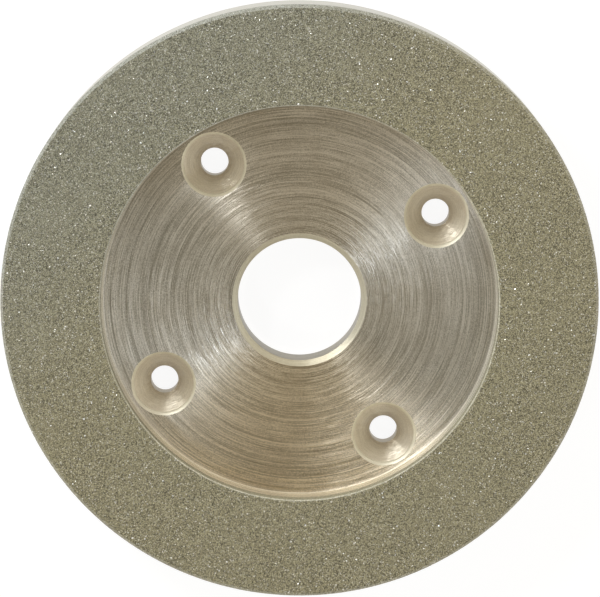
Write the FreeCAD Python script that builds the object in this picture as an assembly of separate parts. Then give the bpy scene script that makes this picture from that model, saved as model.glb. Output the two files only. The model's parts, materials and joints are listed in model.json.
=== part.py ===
import FreeCAD, Part
import math
import os

# Screw-on diamond face wheel, in millimetres. The wheel lies on its mounting face.
# +Z is the spin axis, out of the grinding face. The origin is the centre of the mounting face.

# Whole wheel
wheel_diameter = 152.4
wheel_thickness = 19.05

# Abrasive ring: it carries the grinding face, and its bore is flush with the recess wall below it
ring_bore_diameter = 101.6
ring_depth = 3.175
ring_outer_bevel = 0.75
ring_inner_break = 0.2

# Adhesive film between the ring and the core, a little short of both edges
film_thickness = 0.15
film_setback = 0.15

# Keying grooves in the core's seat, which ribs under the ring fill
key_count = 2
key_width = 3.2
key_depth = 1.0

# Core: the recess in its front, the bore, and the turned edges
recess_depth = 7.94
recess_fillet = 1.2
bore_diameter = 31.75
bore_front_chamfer_width = 1.4
bore_front_chamfer_depth = 1.2
bore_back_chamfer = 1.6
back_edge_chamfer = 0.8

# Mounting screw holes in the recess floor, for flat-head screws
screw_count = 4
screw_hole_diameter = 7.14
countersink_angle = 82.0
counterbore_diameter = 15.75
counterbore_depth = 1.8
counterbore_break = 0.35
screw_land = 0.1  # flat floor left between a hole's broken edge and the recess fillet

# Heights and radii that follow
wheel_radius = wheel_diameter / 2
recess_radius = ring_bore_diameter / 2
bore_radius = bore_diameter / 2
web_top = wheel_thickness - recess_depth
seat_top = wheel_thickness - ring_depth - film_thickness
counterbore_radius = counterbore_diameter / 2
screw_mouth_radius = counterbore_radius + counterbore_break
screw_circle_radius = recess_radius - recess_fillet - screw_land - screw_mouth_radius

# How far a cutting body runs past the faces that it opens
overrun = 1.0

spin_axis = FreeCAD.Vector(0, 0, 1)
centre = FreeCAD.Vector(0, 0, 0)


def turned(outline):
    """The solid that a closed outline of (radius, height) corners sweeps round the spin axis."""
    corners = [FreeCAD.Vector(radius, 0, height) for radius, height in outline]
    wire = Part.makePolygon(corners + corners[:1])
    return Part.Face(wire).revolve(centre, spin_axis, 360)


def turned_edges(solid, radius, height):
    """The circular edges of a turned solid at one radius and height."""
    found = []
    for edge in solid.Edges:
        if not isinstance(edge.Curve, Part.Circle):
            continue
        same_radius = math.isclose(edge.Curve.Radius, radius, abs_tol=1e-4)
        same_height = math.isclose(edge.Curve.Center.z, height, abs_tol=1e-4)
        if same_radius and same_height:
            found.append(edge)
    return found


def seat_line(lift, inner_radius, outer_radius):
    """Corners of the stepped seat from the inside out, raised off the core's own seat by lift."""
    land = (wheel_radius - recess_radius) / (key_count + 1)
    top = seat_top + lift
    corners = [(inner_radius, top)]
    for key in range(key_count):
        key_radius = recess_radius + land * (key + 1)
        inner_wall = key_radius - key_width / 2 + lift
        outer_wall = key_radius + key_width / 2 - lift
        corners.append((inner_wall, top))
        corners.append((inner_wall, top - key_depth))
        corners.append((outer_wall, top - key_depth))
        corners.append((outer_wall, top))
    corners.append((outer_radius, top))
    return corners


def screw_hole_cutter():
    """One countersunk hole, about its own axis: clearance hole, cone, counterbore and broken edge."""
    hole_radius = screw_hole_diameter / 2
    cone_top = web_top - counterbore_depth
    cone_height = (counterbore_radius - hole_radius) / math.tan(math.radians(countersink_angle / 2))
    return turned([
        (0, -overrun),
        (hole_radius, -overrun),
        (hole_radius, cone_top - cone_height),
        (counterbore_radius, cone_top),
        (counterbore_radius, web_top - counterbore_break),
        (screw_mouth_radius, web_top),
        (screw_mouth_radius, web_top + overrun),
        (0, web_top + overrun),
    ])


def wheel_core():
    """The turned body: web, raised rim with its keyed seat, bore and screw holes."""
    outline = [
        (bore_radius + bore_back_chamfer, 0),
        (wheel_radius - back_edge_chamfer, 0),
        (wheel_radius, back_edge_chamfer),
    ]
    outline += reversed(seat_line(0, recess_radius, wheel_radius))
    outline += [
        (recess_radius, web_top),
        (bore_radius + bore_front_chamfer_width, web_top),
        (bore_radius, web_top - bore_front_chamfer_depth),
        (bore_radius, bore_back_chamfer),
    ]
    core = turned(outline)
    core = core.makeFillet(recess_fillet, turned_edges(core, recess_radius, web_top))
    cutter = screw_hole_cutter()
    cutter.translate(FreeCAD.Vector(screw_circle_radius, 0, 0))
    for screw in range(screw_count):
        hole = cutter.copy()
        hole.rotate(centre, spin_axis, 360 * screw / screw_count)
        core = core.cut(hole)
    return core


def bond_film():
    """The adhesive film, lining the seat and its grooves."""
    inner_radius = recess_radius + film_setback
    outer_radius = wheel_radius - film_setback
    below = seat_line(0, inner_radius, outer_radius)
    above = seat_line(film_thickness, inner_radius, outer_radius)
    return turned(below + above[::-1])


def abrasive_ring():
    """The diamond layer, with ribs below that fill the grooves."""
    outline = seat_line(film_thickness, recess_radius, wheel_radius)
    outline += [
        (wheel_radius, wheel_thickness - ring_outer_bevel),
        (wheel_radius - ring_outer_bevel, wheel_thickness),
        (recess_radius + ring_inner_break, wheel_thickness),
        (recess_radius, wheel_thickness - ring_inner_break),
    ]
    return turned(outline)


def write_node(name, shape):
    solid = shape.Solids[0]
    if len(shape.Solids) != 1 or not solid.isValid():
        raise ValueError(name + " is not one sound solid")
    solid.exportStep(os.path.join("parts", name + ".step"))
    print(name, round(solid.Volume / 1000, 2), "cm3")


os.makedirs("parts", exist_ok=True)
write_node("wheel_core", wheel_core())
write_node("bond_film", bond_film())
write_node("abrasive_ring", abrasive_ring())
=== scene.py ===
import json
import math

import bpy
import numpy as np
from mathutils import Matrix, Vector


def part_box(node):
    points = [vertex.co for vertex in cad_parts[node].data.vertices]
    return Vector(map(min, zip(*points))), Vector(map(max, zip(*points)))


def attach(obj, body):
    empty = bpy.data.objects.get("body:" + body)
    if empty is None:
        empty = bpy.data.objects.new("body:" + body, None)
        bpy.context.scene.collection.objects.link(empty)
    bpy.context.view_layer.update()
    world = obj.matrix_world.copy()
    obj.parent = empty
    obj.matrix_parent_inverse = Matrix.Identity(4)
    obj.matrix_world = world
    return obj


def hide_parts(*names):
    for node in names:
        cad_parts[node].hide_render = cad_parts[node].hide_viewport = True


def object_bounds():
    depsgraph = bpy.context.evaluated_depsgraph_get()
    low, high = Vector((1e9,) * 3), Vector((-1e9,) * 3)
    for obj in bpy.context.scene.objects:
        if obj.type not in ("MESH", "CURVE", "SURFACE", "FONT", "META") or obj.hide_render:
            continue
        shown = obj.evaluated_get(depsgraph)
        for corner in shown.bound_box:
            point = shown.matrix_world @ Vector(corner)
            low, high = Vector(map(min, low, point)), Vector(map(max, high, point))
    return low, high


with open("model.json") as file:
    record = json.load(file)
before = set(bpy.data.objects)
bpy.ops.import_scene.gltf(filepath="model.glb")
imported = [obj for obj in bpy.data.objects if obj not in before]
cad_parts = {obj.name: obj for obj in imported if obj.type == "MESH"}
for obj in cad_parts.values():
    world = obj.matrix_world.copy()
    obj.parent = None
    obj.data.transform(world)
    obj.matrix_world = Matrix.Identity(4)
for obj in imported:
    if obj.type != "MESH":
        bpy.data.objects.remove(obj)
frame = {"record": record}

cadLow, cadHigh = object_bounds()
mm = 0.001
mounts = {mount["name"]: mount for mount in frame["record"]["mounts"]}
boreRadius = mounts["spindle_bore"]["dims"]["r_mm"]
screwHoleRadius = mounts["screw_holes"]["dims"]["hole_r_mm"]
screwCircleRadius = mounts["screw_holes"]["dims"]["pcd_mm"] / 2
screwCount = mounts["screw_holes"]["dims"]["count"]
faceHeight = cadHigh.z / mm
wheelRadius = (cadHigh.x - cadLow.x) / 2 / mm
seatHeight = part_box("wheel_core")[1].z / mm
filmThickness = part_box("bond_film")[1].z / mm - seatHeight


class Wire:
    # a socket that takes arithmetic, adding a Math or Vector Math node for each operator
    def __init__(self, sheet, socket):
        self.sheet = sheet
        self.socket = socket

    def isVector(self):
        return self.socket.type in ("VECTOR", "RGBA")

    def math(self, operation, *others):
        return self.sheet.node("ShaderNodeMath", {"operation": operation}, [self, *others])

    def both(self, operation, first, second):
        kind = "ShaderNodeMath"
        for side in (first, second):
            if isinstance(side, Wire) and side.isVector():
                kind = "ShaderNodeVectorMath"
        if kind == "ShaderNodeVectorMath":
            first = self.spread(first)
            second = self.spread(second)
        return self.sheet.node(kind, {"operation": operation}, [first, second])

    def spread(self, side):
        return (side, side, side) if isinstance(side, (int, float)) else side

    def __add__(self, other):
        return self.both("ADD", self, other)

    def __radd__(self, other):
        return self.both("ADD", other, self)

    def __sub__(self, other):
        return self.both("SUBTRACT", self, other)

    def __rsub__(self, other):
        return self.both("SUBTRACT", other, self)

    def __mul__(self, other):
        return self.both("MULTIPLY", self, other)

    def __rmul__(self, other):
        return self.both("MULTIPLY", other, self)

    def __truediv__(self, other):
        return self.both("DIVIDE", self, other)

    def __rtruediv__(self, other):
        return self.both("DIVIDE", other, self)

    def __pow__(self, power):
        return self.math("POWER", power)

    def __abs__(self):
        return self.math("ABSOLUTE")

    def step(self, low, high):
        # 0 below low, 1 above high, smooth between
        settings = {"interpolation_type": "SMOOTHSTEP"}
        values = {"Value": self, "From Min": low, "From Max": high}
        return self.sheet.node("ShaderNodeMapRange", settings, values)

    def cross(self, other):
        return self.both("CROSS_PRODUCT", self, other)

    def unit(self):
        return self.sheet.node("ShaderNodeVectorMath", {"operation": "NORMALIZE"}, [self])


class Finish:
    # one material, or the world, written as expressions on wires
    def __init__(self, owner):
        self.material = bpy.data.materials.new(owner) if isinstance(owner, str) else owner
        self.material.use_nodes = True
        self.tree = self.material.node_tree
        self.tree.nodes.clear()

    def node(self, kind, settings, values, output=0):
        made = self.tree.nodes.new(kind)
        for key, value in settings.items():
            if key == "stops":
                self.setStops(made.color_ramp, value)
            else:
                setattr(made, key, value)
        pairs = values.items() if isinstance(values, dict) else enumerate(values)
        for key, value in pairs:
            if isinstance(value, Wire):
                self.tree.links.new(value.socket, made.inputs[key])
            else:
                made.inputs[key].default_value = value
        return Wire(self, made.outputs[output]) if made.outputs else None

    def setStops(self, ramp, stops):
        while len(ramp.elements) < len(stops):
            ramp.elements.new(0.5)
        for element, (place, colour) in zip(ramp.elements, stops):
            element.position = place
            element.color = colour

    def place(self):
        # position on the wheel, in millimetres
        return self.node("ShaderNodeTexCoord", {}, {}, "Object") * (1 / mm)

    def parts(self, vector):
        split = self.node("ShaderNodeSeparateXYZ", {}, [vector])
        outputs = split.socket.node.outputs
        return [Wire(self, outputs[axis]) for axis in range(3)]

    def join(self, x, y, z):
        return self.node("ShaderNodeCombineXYZ", {}, [x, y, z])

    def noise(self, where, scale, detail=2.0, roughness=0.5):
        values = {"Vector": where, "Scale": scale, "Detail": detail, "Roughness": roughness}
        return self.node("ShaderNodeTexNoise", {"noise_dimensions": "3D"}, values, "Fac")

    def cells(self, where, scale, output="Color"):
        values = {"Vector": where, "Scale": scale}
        return self.node("ShaderNodeTexVoronoi", {"voronoi_dimensions": "3D"}, values, output)

    def normal(self):
        return self.node("ShaderNodeNewGeometry", {}, {}, "Normal")

    def blend(self, amount, first, second):
        values = {0: amount, 6: self.colour(first), 7: self.colour(second)}
        return self.node("ShaderNodeMix", {"data_type": "RGBA"}, values, 2)

    def colour(self, value):
        return value if isinstance(value, Wire) else (*value, 1.0)

    def surface(self, values):
        shader = self.node("ShaderNodeBsdfPrincipled", {}, values)
        self.node("ShaderNodeOutputMaterial", {}, {"Surface": shader})
        return self.material


def turnedFinish(name, look):
    # bright metal with tool marks round the wheel's axis, or round the nearest screw hole's
    finish = Finish(name)
    place = finish.place()
    x, y, z = finish.parts(place)
    if look["about"] == "screw":
        # the four holes lie on the two axes, so folding the wheel onto one hole keeps the marks round each
        onX = finish.node("ShaderNodeMath", {"operation": "GREATER_THAN"}, [abs(x), abs(y)])
        x, y = (
            onX * (abs(x) - screwCircleRadius) * x.math("SIGN") + (1 - onX) * x,
            (1 - onX) * (abs(y) - screwCircleRadius) * y.math("SIGN") + onX * y,
        )
    radius = (x * x + y * y) ** 0.5
    outward = finish.join(x, y, 0.0) / finish.join(radius, radius, 1.0)
    outX, outY, _ = finish.parts(outward)
    normal = finish.normal()
    around = outward.cross((0.0, 0.0, -1.0))
    across = around.cross(normal).unit()
    run = radius + z  # how far along the turned outline

    def marks(pitch, turns, detail):
        # tool marks about pitch mm apart; a larger turns gives shorter arcs
        where = finish.join(run * (1 / pitch), outX * turns, outY * turns)
        return finish.noise(where, 1.0, detail, 0.6) - 0.5

    line = marks(look["linePitch"], look["lineTurns"], 1.0)
    streak = marks(look["streakPitch"], look["streakTurns"], 1.0)
    band = marks(look["bandPitch"], look["bandTurns"], 2.0)
    grain = finish.noise(place, look["grainScale"], 1.0) - 0.5
    reach = radius.step(*look["reach"])
    cloud = finish.noise(place, look["cloudScale"], 3.0, 0.6) - 0.5
    # the slopes have marks of their own, so that light from either side brings them out alike
    rise = marks(look["linePitch"] * 0.85, look["lineTurns"] * 1.4, 1.0)
    ripple = marks(look["streakPitch"] * 1.3, look["streakTurns"] * 1.5, 1.0)
    slope = rise * look["lineSlope"] + ripple * look["streakSlope"]
    slope = slope * (look["slopeNear"] + reach * look["slopeRise"])
    if "feedSlope" in look:
        # spreads the shine across the marks
        slope = slope + marks(look["feedPitch"], look["feedTurns"], 1.0) * look["feedSlope"]
    sway = ripple * (look["waver"] - reach * look["waverFall"])
    bent = normal + across * finish.join(slope, slope, slope) + around * finish.join(sway, sway, sway)
    tone = 0.5 + line * look["lineTone"] + streak * look["streakTone"] + band * look["bandTone"]
    tone = tone + grain * look["grainTone"]
    metal = finish.blend(tone.step(0.0, 1.0), look["dark"], look["light"])
    metal = finish.blend((cloud + 0.5).step(*look["stainEdge"]) * look["stain"], metal, look["stainColour"])
    if "deepShade" in look:
        # painted shade: a cone is painted darker towards its drilled hole, where it lies deeper
        deepShadeMask = 1 - radius.step(screwHoleRadius, look["deepReach"])
        metal = finish.blend(deepShadeMask * look["deepShade"], metal, metal * look["deepTint"])
    # painted reflection: two opposite sectors are tinted browner, where the warm surroundings would
    # reflect, one more than the other
    warmReflectionAxis = math.radians(look["brownAngle"])
    lie = outX * math.cos(warmReflectionAxis) + outY * math.sin(warmReflectionAxis)
    uneven = 1 - look["brownUneven"] + lie * look["brownUneven"]
    brown = abs(lie).step(*look["brownEdge"]) * uneven * look["brown"]
    metal = finish.blend(brown, metal, metal * look["brownTint"])
    rough = look["rough"] + reach * look["roughRise"]
    rough = rough + line * look["roughSpread"] + cloud * look["roughCloud"]
    return finish.surface({
        "Base Color": metal,
        "Metallic": look["metallic"],
        "Roughness": rough,
        "Normal": bent.unit(),
        "Anisotropic": look["brushed"],
        "Anisotropic Rotation": look["brushTurn"],
    })


recessLook = {
    "about": "wheel",  # the axis that the tool marks go round
    "metallic": 1.0, "rough": 0.275, "roughRise": 0.155, "roughSpread": 0.12, "roughCloud": 0.06,
    "reach": (20.0, 44.0),  # the radii between which the roughness rises and the slopes grow
    "brushed": 0.97, "brushTurn": 0.25,  # the shine is drawn out across the marks
    "slopeNear": 0.35, "slopeRise": 0.95,
    "linePitch": 0.18, "lineTurns": 0.8, "lineSlope": 1.3, "lineTone": 1.5,
    "streakPitch": 0.16, "streakTurns": 5.0, "streakSlope": 1.25, "streakTone": 1.2,
    "bandPitch": 1.5, "bandTurns": 0.7, "bandTone": 0.8,
    "grainScale": 5.0, "grainTone": 1.45, "waver": 0.24, "waverFall": 0.195, "cloudScale": 0.05,
    "dark": (0.395, 0.372, 0.318), "light": (0.93, 0.90, 0.835),
    "stain": 0.3, "stainEdge": (0.42, 0.72), "stainColour": (0.53, 0.48, 0.40),
    # painted reflection: tint, direction and spread of the two browner sectors
    "brown": 0.8, "brownAngle": 233, "brownEdge": (0.35, 1.0), "brownUneven": 0.32,
    "brownTint": (1.12, 1.0, 0.80),
}
# painted light: the recess wall and its fillet are a paler, less metallic copy of the floor's metal,
# painted brighter
litWallLook = dict(recessLook, rough=0.28, roughRise=0.0, brushed=0.5, metallic=0.55, brown=0.5,
                lineSlope=0.1, streakSlope=0.05, waver=0.08, waverFall=0.065,
                dark=(0.68, 0.65, 0.55), light=(0.93, 0.91, 0.82))
# painted reflection: the bore's chamfer is painted cream, the colour of the surroundings it reflects
chamferReflectionLook = dict(recessLook, rough=0.4, roughRise=0.0, metallic=0.42, brushed=0.6, stain=0.1,
                   lineSlope=0.2, streakSlope=0.15, waver=0.08, waverFall=0.065, brown=0.3,
                   dark=(0.56, 0.525, 0.41), light=(0.74, 0.71, 0.58))
# painted highlight: the broken edge at each screw hole's mouth is painted pale cream, a bright ring all
# round
breakHighlightLook = dict(chamferReflectionLook, about="screw", metallic=0.45, brushed=0.0,
                 brown=0.0, dark=(0.78, 0.73, 0.58), light=(0.94, 0.90, 0.75))
# painted shade: the bored wall is painted far darker than the rest of the metal
shadedBoreLook = dict(recessLook, rough=0.34, roughRise=0.0, brushed=0.5, lineSlope=0.2, streakSlope=0.15,
                waver=0.08, waverFall=0.065, brown=0.2, dark=(0.14, 0.125, 0.09), light=(0.36, 0.33, 0.26))
sideLook = dict(recessLook, rough=0.32, roughRise=0.0, brushed=0.6, stain=0.12,
                lineSlope=0.2, streakSlope=0.15, waver=0.08, waverFall=0.065, brown=0.0,
                dark=(0.46, 0.445, 0.385), light=(0.62, 0.60, 0.52))
backLook = dict(recessLook, stain=0.2, brown=0.3)
# painted light: the cones are painted paler than the floor's metal
litSinkLook = dict(recessLook, about="screw", feedPitch=0.035, feedTurns=3.0, feedSlope=2.4,
                lineTurns=1.0, lineSlope=0.2, lineTone=0.95,
                streakTurns=3.0, streakSlope=0.06, streakTone=0.4, bandTone=0.3, grainTone=0.9,
                rough=0.34, roughRise=0.0, brushed=0.0, metallic=0.72,
                waver=0.048, waverFall=0.039, stain=0.2, brown=0.0,
                deepShade=0.9, deepReach=5.8, deepTint=(0.78, 0.74, 0.685),
                dark=(0.68, 0.61, 0.48), light=(1.0, 0.93, 0.78))
# painted shade: the drilled walls are painted darker than the cones
shadedDrillLook = dict(litSinkLook, rough=0.4, feedSlope=0.3, dark=(0.36, 0.32, 0.24), light=(0.54, 0.49, 0.38))


def abrasiveFinish(name, look):
    # grey-green bond packed with fine grit
    finish = Finish(name)
    place = finish.place()
    tone, tint, flash = finish.parts(finish.cells(place, look["grit"]))
    gap = finish.cells(place, look["grit"], "Distance")
    dust = finish.noise(place, look["dust"], 2.0, 0.7)
    cloud = finish.noise(place, look["cloud"], 3.0, 0.55)
    dot = 1 - gap.step(look["gritSize"], look["gritSize"] + look["gritFade"])
    # painted glints: a few grit cells are painted near-white, with a little metal
    sparkle = flash.step(*look["sparkleEdge"])
    grit = finish.blend(tone.step(*look["gritEdge"]), look["dark"], look["light"])
    grit = finish.blend(tint.step(*look["greenEdge"]) * look["greenShare"], grit, look["green"])
    grit = finish.blend(sparkle, grit, look["glint"])
    # the bond is clumped on its own, apart from the grit
    clump, _, _ = finish.parts(finish.cells(place + look["clumpShift"], look["clump"]))
    mottle = (dust + clump) * look["mottle"]
    bond = finish.blend(mottle.step(*look["bondEdge"]), look["bondDark"], look["bondLight"])
    body = finish.blend(dot, bond, grit)
    body = finish.blend(cloud.step(*look["wornEdge"]) * look["wornShare"], body, look["worn"])
    # painted sheen: one side of the wheel is tinted a cooler grey, the sheen of the cool key light
    x, y, _ = finish.parts(place)
    sheenAxis = math.radians(look["coolAngle"])
    lie = x * math.cos(sheenAxis) + y * math.sin(sheenAxis)
    paintedSheen = lie.step(wheelRadius * look["coolFrom"], wheelRadius * look["coolTo"])
    body = finish.blend(paintedSheen, body, body * look["coolTint"])
    bump = finish.node("ShaderNodeBump", {}, {
        "Strength": look["bump"],
        "Distance": look["bumpHeight"] * mm,
        "Height": dot * (0.5 + tone * 0.5) + dust * 0.4,
    })
    return finish.surface({
        "Base Color": body,
        "Metallic": sparkle * dot * 0.3,
        "Roughness": look["rough"] - dot * 0.15 + (dust - 0.5) * 0.2,
        "Normal": bump,
    })


abrasiveLook = {
    # how many to a millimetre
    "grit": 4.8, "clump": 4.32, "dust": 11.0, "cloud": 0.05,
    "gritSize": 0.20, "gritFade": 0.35, "clumpShift": 31.7, "mottle": 0.6,
    "bump": 0.6, "bumpHeight": 0.1, "rough": 0.58,
    # colours, and where in its pattern each one starts and is full
    "dark": (0.13, 0.12, 0.072), "light": (0.93, 0.87, 0.64), "gritEdge": (0.1, 0.9),
    "green": (0.37, 0.365, 0.22), "greenEdge": (0.6, 1.0), "greenShare": 0.4,
    "bondDark": (0.045, 0.04, 0.022), "bondLight": (0.44, 0.405, 0.25), "bondEdge": (0.25, 0.95),
    "glint": (1.0, 0.99, 0.92), "sparkleEdge": (0.97, 0.985),
    "worn": (0.37, 0.345, 0.225), "wornEdge": (0.35, 0.75), "wornShare": 0.2,
    # painted sheen: a cooler grey on one side of the face
    "coolAngle": 98, "coolFrom": 0.1, "coolTo": 0.9, "coolTint": (0.90, 0.965, 1.13),
}
# painted highlight: the ring's outer bevel is painted lighter than its face
bevelHighlightLook = dict(abrasiveLook, dark=(0.32, 0.30, 0.215), light=(0.86, 0.83, 0.66), bump=0.4,
                 bondDark=(0.14, 0.13, 0.085), bondLight=(0.52, 0.49, 0.36))
# painted highlight: the ring's inner lip is painted lighter still
lipHighlightLook = dict(bevelHighlightLook, dark=(0.60, 0.58, 0.46), light=(1.0, 0.98, 0.86),
               bondDark=(0.36, 0.345, 0.26), bondLight=(0.76, 0.74, 0.60))
edgeLook = dict(abrasiveLook, bump=0.4, bondDark=(0.16, 0.15, 0.10), bondLight=(0.40, 0.38, 0.27))


def grainFinish(name, look):
    # the facets of the diamond grains
    finish = Finish(name)
    tone, _, _ = finish.parts(finish.cells(finish.place(), look["patch"]))
    body = finish.blend(tone, look["dark"], look["light"])
    return finish.surface({
        "Base Color": body,
        "Metallic": look["metallic"],
        "Roughness": look["rough"] + tone * look["roughSpread"],
        "IOR": look["bend"],
    })


facetLook = {
    "patch": 4.5, "metallic": 0.0, "rough": 0.08, "roughSpread": 0.15, "bend": 2.4,
    "dark": (0.07, 0.065, 0.04), "light": (0.60, 0.57, 0.425),
}
glintLook = dict(facetLook, metallic=1.0, rough=0.24, dark=(0.94, 0.93, 0.88), light=(1.0, 1.0, 0.98))


def adhesiveFinish(name, look):
    # cured glue, a little lumpy
    finish = Finish(name)
    tone = finish.noise(finish.place(), look["lumps"], 3.0, 0.6)
    body = finish.blend(tone.step(0.3, 0.7), look["dark"], look["light"])
    bump = finish.node("ShaderNodeBump", {}, {
        "Strength": look["bump"],
        "Distance": look["bumpHeight"] * mm,
        "Height": tone,
    })
    return finish.surface({
        "Base Color": body,
        "Roughness": look["rough"] + tone * look["roughSpread"],
        "Normal": bump,
    })


adhesiveLook = {
    "lumps": 1.4, "bump": 0.4, "bumpHeight": 0.1, "rough": 0.42, "roughSpread": 0.2,
    "dark": (0.10, 0.085, 0.055), "light": (0.20, 0.175, 0.12),
}


def roundCorners(corners, steps):
    # each corner is (radius, height, rounding, finish of the span after it); returns points and finishes
    points = []
    finishes = []
    count = len(corners)
    for index, (radius, height, rounding, finish) in enumerate(corners):
        here = Vector((radius, height))
        before = corners[index - 1]
        after = corners[(index + 1) % count]
        spanFinish = before[3]
        if rounding <= 0:
            points.append(here)
            finishes.append(finish)
            continue
        toBefore = (Vector(before[:2]) - here).normalized()
        toAfter = (Vector(after[:2]) - here).normalized()
        half = toBefore.angle(toAfter) / 2
        setBack = rounding / math.tan(half)
        middle = here + (toBefore + toAfter).normalized() * (rounding / math.sin(half))
        start = here + toBefore * setBack - middle
        end = here + toAfter * setBack - middle
        turn = start.angle_signed(end)
        for stepIndex in range(steps + 1):
            share = stepIndex / steps
            angle = -turn * share
            spoke = Vector((
                start.x * math.cos(angle) - start.y * math.sin(angle),
                start.x * math.sin(angle) + start.y * math.cos(angle),
            ))
            points.append(middle + spoke)
            finishes.append(spanFinish if share < 0.5 else finish)
    return points, finishes


def turnedMesh(name, corners, segments, materials, steps=4, divide=None):
    # sweeps a closed outline round the axis; divide splits long spans to at most that many millimetres
    points, finishes = roundCorners(corners, steps)
    if divide:
        longer = []
        longerFinishes = []
        for index, point in enumerate(points):
            after = points[(index + 1) % len(points)]
            pieces = max(1, math.ceil((after - point).length / divide))
            for piece in range(pieces):
                longer.append(point.lerp(after, piece / pieces))
                longerFinishes.append(finishes[index])
        points = longer
        finishes = longerFinishes
    count = len(points)
    outline = np.array([tuple(point) for point in points]) * mm
    angles = np.arange(segments) * (2 * math.pi / segments)
    vertices = np.zeros((segments, count, 3))
    vertices[:, :, 0] = np.cos(angles)[:, None] * outline[None, :, 0]
    vertices[:, :, 1] = np.sin(angles)[:, None] * outline[None, :, 0]
    vertices[:, :, 2] = outline[None, :, 1]
    column = np.arange(segments)[:, None]
    row = np.arange(count)[None, :]
    nextColumn = (column + 1) % segments
    nextRow = (row + 1) % count
    faces = np.stack(np.broadcast_arrays(
        column * count + row,
        nextColumn * count + row,
        nextColumn * count + nextRow,
        column * count + nextRow,
    ), axis=-1).reshape(-1, 4)
    mesh = bpy.data.meshes.new(name)
    mesh.from_pydata(vertices.reshape(-1, 3).tolist(), [], faces.tolist())
    for material in materials:
        mesh.materials.append(material)
    mesh.polygons.foreach_set("material_index", np.tile(np.array(finishes), segments))
    mesh.update()
    return mesh


def finishMesh(mesh, sharpFrom):
    # smooth shading, with corners of more than sharpFrom degrees kept crisp
    mesh.polygons.foreach_set("use_smooth", np.ones(len(mesh.polygons), dtype=bool))
    mesh.set_sharp_from_angle(angle=math.radians(sharpFrom))
    mesh.validate()


def addPiece(mesh, node):
    piece = bpy.data.objects.new(mesh.name, mesh)
    bpy.context.collection.objects.link(piece)
    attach(piece, "root")
    if node:
        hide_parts(node)
    return piece


sharpAngle = 24  # degrees
axisGap = 0.0001  # keeps a solid outline off its own axis, mm

core = {
    "segments": 480,
    "cornerSteps": 6,
    "recessRadius": 50.8,
    "recessDepth": 7.94,
    "recessFillet": 1.2,
    "frontChamferWidth": 1.4,
    "frontChamferDepth": 1.2,
    "backChamfer": 1.6,
    "edgeChamfer": 0.8,
    "edgeRound": 0.12,
    "keyCount": 2,
    "keyWidth": 3.2,
    "keyDepth": 1.0,
    "counterboreRadius": 7.72,
    "counterboreDepth": 1.8,
    "counterboreBreak": 0.62,
    "mouthRound": 0.2,
    "coneRound": 0.08,
    "coneAngle": 82.0,
    "holeSegments": 128,
    "overrun": 1.0,
}
webHeight = faceHeight - core["recessDepth"]


def seatCorners(lift, innerRadius, outerRadius, finish):
    # the stepped seat under the ring, from the inside out
    land = (wheelRadius - core["recessRadius"]) / (core["keyCount"] + 1)
    top = seatHeight + lift
    low = top - core["keyDepth"]
    corners = [(innerRadius, top, 0, finish)]
    for key in range(core["keyCount"]):
        middle = core["recessRadius"] + land * (key + 1)
        inner = middle - core["keyWidth"] / 2 + lift
        outer = middle + core["keyWidth"] / 2 - lift
        corners += [
            (inner, top, 0, finish),
            (inner, low, 0, finish),
            (outer, low, 0, finish),
            (outer, top, 0, finish),
        ]
    corners.append((outerRadius, top, 0, finish))
    return corners


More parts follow.
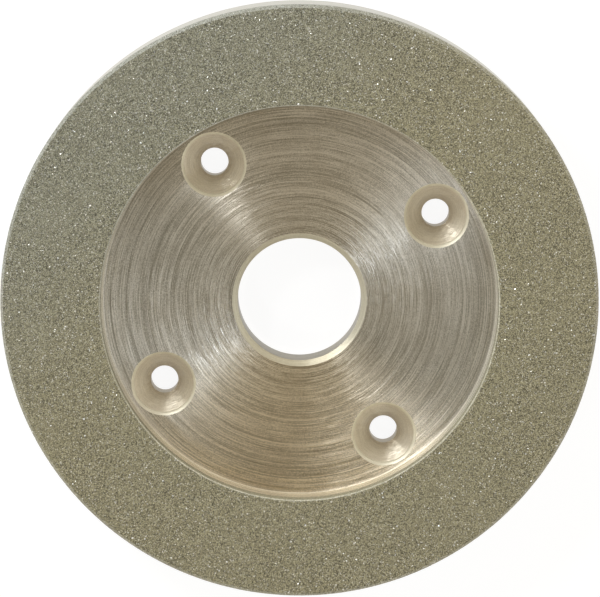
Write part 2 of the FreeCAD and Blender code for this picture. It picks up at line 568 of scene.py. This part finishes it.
def makeCore():
    floorSlot, wallSlot, chamferSlot, boreSlot, sideSlot = range(5)
    backSlot, sinkSlot, drillSlot, breakSlot = range(5, 9)
    materials = [
        turnedFinish("turnedRecessFloor", recessLook),
        turnedFinish("turnedRecessWall", litWallLook),
        turnedFinish("turnedBoreChamfer", chamferReflectionLook),
        turnedFinish("boredWall", shadedBoreLook),
        turnedFinish("turnedRimSide", sideLook),
        turnedFinish("facedBack", backLook),
        turnedFinish("countersunkCone", litSinkLook),
        turnedFinish("drilledWall", shadedDrillLook),
        turnedFinish("brokenHoleEdge", breakHighlightLook),
    ]
    edge = core["edgeRound"]
    outline = [
        (boreRadius + core["backChamfer"], 0, edge, backSlot),
        (wheelRadius - core["edgeChamfer"], 0, edge, sideSlot),
        (wheelRadius, core["edgeChamfer"], edge, sideSlot),
    ]
    seat = seatCorners(0, core["recessRadius"], wheelRadius, sideSlot)
    outline += reversed(seat[1:])
    outline += [
        (core["recessRadius"], seatHeight, 0, wallSlot),
        (core["recessRadius"], webHeight, core["recessFillet"], floorSlot),
        (boreRadius + core["frontChamferWidth"], webHeight, edge, chamferSlot),
        (boreRadius, webHeight - core["frontChamferDepth"], edge, boreSlot),
        (boreRadius, core["backChamfer"], edge, chamferSlot),
    ]
    blank = turnedMesh("turnedBlank", outline, core["segments"], materials, core["cornerSteps"])
    body = bpy.data.objects.new("turnedBlank", blank)
    bpy.context.collection.objects.link(body)
    coneTop = webHeight - core["counterboreDepth"]
    coneSlope = math.tan(math.radians(core["coneAngle"] / 2))
    coneHeight = (core["counterboreRadius"] - screwHoleRadius) / coneSlope
    mouth = core["counterboreRadius"] + core["counterboreBreak"]
    holeOutline = [
        (axisGap, -core["overrun"], 0, drillSlot),
        (screwHoleRadius, -core["overrun"], 0, drillSlot),
        (screwHoleRadius, coneTop - coneHeight, edge, sinkSlot),
        (core["counterboreRadius"], coneTop, core["coneRound"], breakSlot),
        (core["counterboreRadius"], webHeight - core["counterboreBreak"], core["mouthRound"], breakSlot),
        (mouth, webHeight, 0, breakSlot),
        (mouth, webHeight + core["overrun"], 0, breakSlot),
        (axisGap, webHeight + core["overrun"], 0, breakSlot),
    ]
    for screw in range(screwCount):
        cutterMesh = turnedMesh("cutter", holeOutline, core["holeSegments"], materials)
        angle = 2 * math.pi * screw / screwCount
        centre = Vector((math.cos(angle), math.sin(angle), 0)) * (screwCircleRadius * mm)
        cutterMesh.transform(Matrix.Translation(centre))
        cutter = bpy.data.objects.new("cutter", cutterMesh)
        bpy.context.collection.objects.link(cutter)
        cut = body.modifiers.new("screwHole", "BOOLEAN")
        cut.operation = "DIFFERENCE"
        cut.solver = "EXACT"
        cut.object = cutter
    evaluated = body.evaluated_get(bpy.context.evaluated_depsgraph_get())
    mesh = bpy.data.meshes.new_from_object(evaluated)
    for old in [body] + [cut.object for cut in body.modifiers]:
        bpy.data.objects.remove(old)
    mesh.name = "coreBody"
    finishMesh(mesh, sharpAngle)
    return addPiece(mesh, "wheel_core")


makeCore()
print("core turned and drilled")


film = {"segments": 480, "setBack": 0.15}


def makeFilm():
    inner = core["recessRadius"] + film["setBack"]
    outer = wheelRadius - film["setBack"]
    below = seatCorners(0, inner, outer, 0)
    above = seatCorners(filmThickness, inner, outer, 0)
    materials = [adhesiveFinish("curedAdhesive", adhesiveLook)]
    mesh = turnedMesh("bondLine", below + above[::-1], film["segments"], materials)
    finishMesh(mesh, sharpAngle)
    return addPiece(mesh, "bond_film")


makeFilm()
print("adhesive film laid")


ring = {
    "segments": 960,
    "outerBevel": 0.75,
    "bevelRound": 0.1,
    "innerBreak": 0.28,
    "cornerSteps": 2,
    "divide": 0.45,
    "sharpAngle": 60,
    "grain": 0.03,  # depth of the bond's unevenness, mm
    "smoothBelow": 0.1,  # the joint's walls stay even up to this far above the film, mm
    "faceDrop": 0.09,  # the bond's face lies this far below the tips of the grains, mm
    "seed": 7,
}


def makeRing():
    faceSlot, bevelSlot, lipSlot, edgeSlot = range(4)
    materials = [
        abrasiveFinish("gritFace", abrasiveLook),
        abrasiveFinish("gritBevel", bevelHighlightLook),
        abrasiveFinish("gritLip", lipHighlightLook),
        abrasiveFinish("gritEdge", edgeLook),
    ]
    top = faceHeight - ring["faceDrop"]
    inner = core["recessRadius"]
    outline = seatCorners(filmThickness, inner, wheelRadius, edgeSlot)
    outline += [
        (wheelRadius, top - ring["outerBevel"], ring["bevelRound"], bevelSlot),
        (wheelRadius - ring["outerBevel"], top, ring["bevelRound"], faceSlot),
        (inner + ring["innerBreak"], top, 0, lipSlot),
        (inner, top - ring["innerBreak"], 0, edgeSlot),
    ]
    steps = ring["cornerSteps"]
    mesh = turnedMesh("abrasiveLayer", outline, ring["segments"], materials, steps, ring["divide"])
    draw = np.random.default_rng(ring["seed"])
    places = np.zeros(len(mesh.vertices) * 3)
    mesh.vertices.foreach_get("co", places)
    places = places.reshape(-1, 3)
    shown = places[:, 2] > (seatHeight + filmThickness + ring["smoothBelow"]) * mm
    sink = draw.uniform(0, ring["grain"] * mm, (len(places), 2))
    places[shown, :2] *= 1 - sink[shown, :1] / (wheelRadius * mm)
    places[shown, 2] -= sink[shown, 1]
    mesh.vertices.foreach_set("co", places.ravel())
    mesh.update()
    finishMesh(mesh, ring["sharpAngle"])
    return addPiece(mesh, "abrasive_ring")


grains = {
    "count": 21000,
    "small": 0.09,
    "large": 0.16,
    # this share sits in the ring's edges: first in its side, then its bevel, and the rest in its inner lip
    "edgeShare": 0.1,
    "sideShare": 0.35,
    "bevelShare": 0.75,
    "sideDepth": 2.2,
    "sunkShare": 0.85,
    "slant": 0.7,  # on the bevel and the lip, the share of the sinking that goes across, and down
    "proud": (0.2, 1.0),  # how much of the face drop a grain stands above the bond
    "stretch": (0.75, 1.15),
    "glintShare": 0.3,
    "glintGrowth": 1.7,  # the most a bright grain outgrows the rest, as a share
    "glintTilt": 30.0,  # the most a bright grain's upper facet leans from level, degrees
    "seed": 11,
}


def turnAbout(axis, angles):
    # rotation matrices about x (0) or z (2)
    first, second = (1, 2) if axis == 0 else (0, 1)
    turns = np.tile(np.eye(3), (len(angles), 1, 1))
    turns[:, first, first] = np.cos(angles)
    turns[:, second, second] = np.cos(angles)
    turns[:, first, second] = -np.sin(angles)
    turns[:, second, first] = np.sin(angles)
    return turns


def levelTurns(draw, count):
    # rotations that bring one facet of each crystal close to level
    facet = np.array([(1, -1, 0), (1, 1, -2), (1, 1, 1)], dtype=float)
    facet /= np.linalg.norm(facet, axis=1)[:, None]
    lean = math.radians(grains["glintTilt"]) * np.sqrt(draw.uniform(0, 1, count))
    spin = turnAbout(2, draw.uniform(0, 2 * math.pi, count))
    turn = turnAbout(2, draw.uniform(0, 2 * math.pi, count))
    return turn @ turnAbout(0, lean) @ spin @ facet


def makeGrains():
    # eight-sided crystals, sunk in the bond at every angle
    draw = np.random.default_rng(grains["seed"])
    count = grains["count"]
    top = faceHeight - ring["faceDrop"]
    innerEdge = core["recessRadius"] + ring["innerBreak"]
    outerEdge = wheelRadius - ring["outerBevel"]
    angle = draw.uniform(0, 2 * math.pi, count)
    radius = np.sqrt(draw.uniform(innerEdge ** 2, outerEdge ** 2, count))
    height = np.full(count, top)
    size = draw.uniform(grains["small"], grains["large"], count)
    where = draw.uniform(0, 1, count)
    onEdge = where < grains["edgeShare"]
    slide = draw.uniform(0, 1, count)
    side = onEdge & (where < grains["edgeShare"] * grains["sideShare"])
    radius[side] = wheelRadius
    height[side] = top - ring["outerBevel"] - slide[side] * grains["sideDepth"]
    bevel = onEdge & ~side & (where < grains["edgeShare"] * grains["bevelShare"])
    radius[bevel] = wheelRadius - ring["outerBevel"] * slide[bevel]
    height[bevel] = top - ring["outerBevel"] * (1 - slide[bevel])
    lip = onEdge & ~side & ~bevel
    radius[lip] = core["recessRadius"] + ring["innerBreak"] * slide[lip]
    height[lip] = top - ring["innerBreak"] * (1 - slide[lip])
    glints = draw.uniform(0, 1, count) < grains["glintShare"]
    size[glints] *= 1 + grains["glintGrowth"] * draw.uniform(0, 1, np.count_nonzero(glints)) ** 2
    sunk = size * grains["sunkShare"] - ring["faceDrop"] * draw.uniform(*grains["proud"], count)
    height[~onEdge] -= sunk[~onEdge]
    radius[side] -= sunk[side]
    radius[bevel] -= sunk[bevel] * grains["slant"]
    height[bevel] -= sunk[bevel] * grains["slant"]
    radius[lip] += sunk[lip] * grains["slant"]
    height[lip] -= sunk[lip] * grains["slant"]
    centres = np.stack([radius * np.cos(angle), radius * np.sin(angle), height], axis=1)
    corners = np.array([(1, 0, 0), (-1, 0, 0), (0, 1, 0), (0, -1, 0), (0, 0, 1), (0, 0, -1)], dtype=float)
    sides = np.array([
        (0, 2, 4), (2, 1, 4), (1, 3, 4), (3, 0, 4),
        (2, 0, 5), (1, 2, 5), (3, 1, 5), (0, 3, 5),
    ])
    turns = draw.normal(size=(count, 4))
    turns /= np.linalg.norm(turns, axis=1)[:, None]
    w, x, y, z = turns.T
    rotation = np.stack([
        1 - 2 * (y * y + z * z), 2 * (x * y - z * w), 2 * (x * z + y * w),
        2 * (x * y + z * w), 1 - 2 * (x * x + z * z), 2 * (y * z - x * w),
        2 * (x * z - y * w), 2 * (y * z + x * w), 1 - 2 * (x * x + y * y),
    ], axis=1).reshape(-1, 3, 3)
    rotation[glints] = levelTurns(draw, np.count_nonzero(glints))
    stretch = draw.uniform(*grains["stretch"], (count, 6, 1))
    crystals = np.einsum("nij,kj->nki", rotation, corners) * stretch * size[:, None, None]
    # no tip stands above the trued face, and a bright grain reaches it
    tips = crystals[:, :, 2].max(axis=1)
    centres[:, 2] = np.minimum(centres[:, 2], faceHeight - tips)
    lying = glints & ~onEdge
    centres[lying, 2] = (faceHeight - tips)[lying]
    points = (crystals + centres[:, None, :]) * mm
    spread = np.linalg.norm(points[:, :, :2], axis=2, keepdims=True)
    points[:, :, :2] *= np.minimum(1, wheelRadius * mm / spread)
    faces = (sides[None, :, :] + 6 * np.arange(count)[:, None, None]).reshape(-1, 3)
    mesh = bpy.data.meshes.new("diamondGrains")
    mesh.from_pydata(points.reshape(-1, 3).tolist(), [], faces.tolist())
    mesh.materials.append(grainFinish("diamondFacets", facetLook))
    mesh.materials.append(grainFinish("diamondGlints", glintLook))
    mesh.polygons.foreach_set("material_index", np.repeat(glints.astype(int), len(sides)))
    mesh.update()
    return addPiece(mesh, None)


makeRing()
makeGrains()
print("abrasive ring pressed and grains set")


studio = {
    "floorRadius": 6.0,
    "floorSides": 96,
    "floorGap": 0.0001,
    "floorGlow": 0.90,
    "floorColour": (0.18, 0.18, 0.18),
    # colour of the surroundings at each height, from the horizon (0) to straight up (1)
    "surround": [
        (0.0, (1.0, 1.0, 0.99, 1)),
        (0.30, (0.85, 0.83, 0.79, 1)),
        (0.62, (0.49, 0.465, 0.395, 1)),
        (1.0, (0.388, 0.36, 0.298, 1)),
    ],
    "warmAngle": 78,
    "warmEdge": (0.1, 0.6),
    "warmRise": (0.03, 0.3),
    "warmShare": 0.5,
    "warmTint": (0.72, 0.60, 0.44),
}
cameraSettings = {
    "distance": 0.820,
    "tilt": 9.2,  # degrees off the spin axis, towards the top of the view
    "sway": -0.125,
    "roll": -31.9,  # from the first screw hole to the right of the view, degrees
    "lens": 193.4,
    "sensor": 36.0,
    "shiftX": 0.0007,
    "shiftY": 0.0109,
}
viewRight = Matrix.Rotation(math.radians(cameraSettings["roll"]), 3, "Z") @ Vector((1, 0, 0))
viewUp = Vector((0, 0, 1)).cross(viewRight)
faceCentre = Vector((0, 0, cadHigh.z))


def towards(angle, zenith):
    # a direction from the wheel: angle round from the right of the view, zenith down from the spin axis
    flat = viewRight * math.cos(math.radians(angle)) + viewUp * math.sin(math.radians(angle))
    return flat * math.sin(math.radians(zenith)) + Vector((0, 0, math.cos(math.radians(zenith))))


def addCamera():
    data = bpy.data.cameras.new("camera")
    data.lens = cameraSettings["lens"]
    data.sensor_width = cameraSettings["sensor"]
    data.shift_x = cameraSettings["shiftX"]
    data.shift_y = cameraSettings["shiftY"]
    data.clip_start = 0.01
    data.clip_end = 100
    tilt = math.radians(cameraSettings["tilt"])
    sway = math.radians(cameraSettings["sway"])
    back = (viewRight * (math.sin(sway) * math.cos(tilt)) + viewUp * math.sin(tilt)
            + Vector((0, 0, math.cos(sway) * math.cos(tilt))))
    right = viewUp.cross(back).normalized()
    up = back.cross(right)
    turn = Matrix((right, up, back)).transposed()
    camera = bpy.data.objects.new("camera", data)
    camera.matrix_world = Matrix.Translation(faceCentre + back * cameraSettings["distance"]) @ turn.to_4x4()
    bpy.context.collection.objects.link(camera)
    bpy.context.scene.camera = camera


lights = {
    "compactLamp": {"angle": 230, "zenith": 37, "away": 0.9, "size": (0.08, 0.08), "watts": 0.47,
                    "colour": (0.78, 0.87, 1.0)},
    "softKey": {"angle": 133, "zenith": 52, "away": 0.9, "size": (0.13, 0.13), "watts": 1.6,
                "colour": (0.93, 0.965, 1.0)},
    "wideRight": {"angle": 18, "zenith": 27, "away": 0.5, "size": (0.22, 0.22), "watts": 0.12,
                  "colour": (0.84, 0.91, 1.0)},
    "nearRight": {"angle": 2, "zenith": 60, "away": 0.45, "size": (0.35, 0.35), "watts": 0.12},
    "lowStrip": {"angle": 124, "zenith": 71, "away": 1.0, "size": (0.85, 0.24), "watts": 3.8,
                 "colour": (0.93, 0.96, 1.0)},
}


def addLight(name, look):
    data = bpy.data.lights.new(name, "AREA")
    data.shape = "RECTANGLE"
    data.size = look["size"][0]
    data.size_y = look["size"][1]
    data.energy = look["watts"]
    data.color = look.get("colour", (1.0, 0.99, 0.97))
    lamp = bpy.data.objects.new(name, data)
    direction = towards(look["angle"], look["zenith"])
    lamp.location = faceCentre + direction * look["away"]
    lamp.rotation_mode = "QUATERNION"
    lamp.rotation_quaternion = direction.to_track_quat("Z", "Y")  # its long side stays level
    lamp.visible_camera = False
    bpy.context.collection.objects.link(lamp)


def addStudio():
    finish = Finish("paleFloor")
    paper = finish.noise(finish.place(), 0.5, 3.0) * 0.02 + 0.99
    glow = studio["floorGlow"]
    light = finish.node("ShaderNodeEmission", {}, {"Color": (glow, glow, glow, 1), "Strength": 1.0})
    paint = finish.blend(paper, (0.0, 0.0, 0.0), studio["floorColour"])
    matt = finish.node("ShaderNodeBsdfDiffuse", {}, {"Color": paint})
    both = finish.node("ShaderNodeAddShader", {}, [light, matt])
    finish.node("ShaderNodeOutputMaterial", {}, {"Surface": both})
    mesh = bpy.data.meshes.new("floor")
    rim = []
    for side in range(studio["floorSides"]):
        angle = 2 * math.pi * side / studio["floorSides"]
        rim.append((studio["floorRadius"] * math.cos(angle), studio["floorRadius"] * math.sin(angle), 0))
    mesh.from_pydata(rim, [], [list(range(len(rim)))])
    mesh.materials.append(finish.material)
    floor = bpy.data.objects.new("floor", mesh)
    floor.location.z = cadLow.z - studio["floorGap"]
    bpy.context.collection.objects.link(floor)
    world = bpy.data.worlds.new("studio")
    sky = Finish(world)
    east, north, height = sky.parts(sky.node("ShaderNodeTexCoord", {}, {}, "Generated"))
    shade = sky.node("ShaderNodeValToRGB", {"stops": studio["surround"]}, [height])
    # the room is darker and warmer ahead and behind than at the sides
    ahead = towards(studio["warmAngle"], 90)
    facing = abs(east * ahead.x + north * ahead.y)
    warm = facing.step(*studio["warmEdge"]) * height.step(*studio["warmRise"]) * studio["warmShare"]
    shade = sky.blend(warm, shade, shade * studio["warmTint"])
    background = sky.node("ShaderNodeBackground", {}, {"Color": shade})
    sky.node("ShaderNodeOutputWorld", {}, {"Surface": background})
    bpy.context.scene.world = world
    bpy.context.scene.view_settings.view_transform = "Standard"


addCamera()
addStudio()
for lightName, lightLook in lights.items():
    addLight(lightName, lightLook)
print("camera, floor and lights placed")
